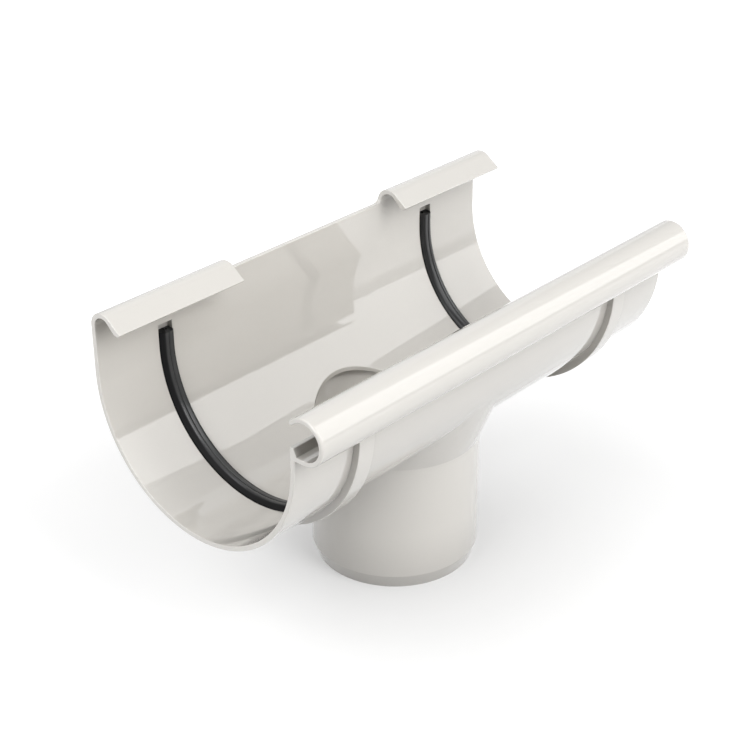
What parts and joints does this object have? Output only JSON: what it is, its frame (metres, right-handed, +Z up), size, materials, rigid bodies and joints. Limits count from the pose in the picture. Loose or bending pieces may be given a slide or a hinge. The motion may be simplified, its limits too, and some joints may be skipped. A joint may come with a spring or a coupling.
{
  "type": "gutter outlet",
  "caption": "Half-round gutter outlet: open trough with rear hooks, tubular front bead and rubber end seals, over a round downpipe spigot.",
  "frame": {"origin": "on the spigot's axis, in the plane of its lower rim", "axes": "+X along the gutter, +Y towards the wall of the house (the hooks), +Z up along the spigot"},
  "size_m": [0.282, 0.1535, 0.1717],
  "materials": {
    "body": "white, glossy",
    "seal": "black, satin"
  },
  "bodies": {
    "root": {"outlet_body": "body", "seal_left": "seal", "seal_right": "seal"}
  },
  "joints": []
}
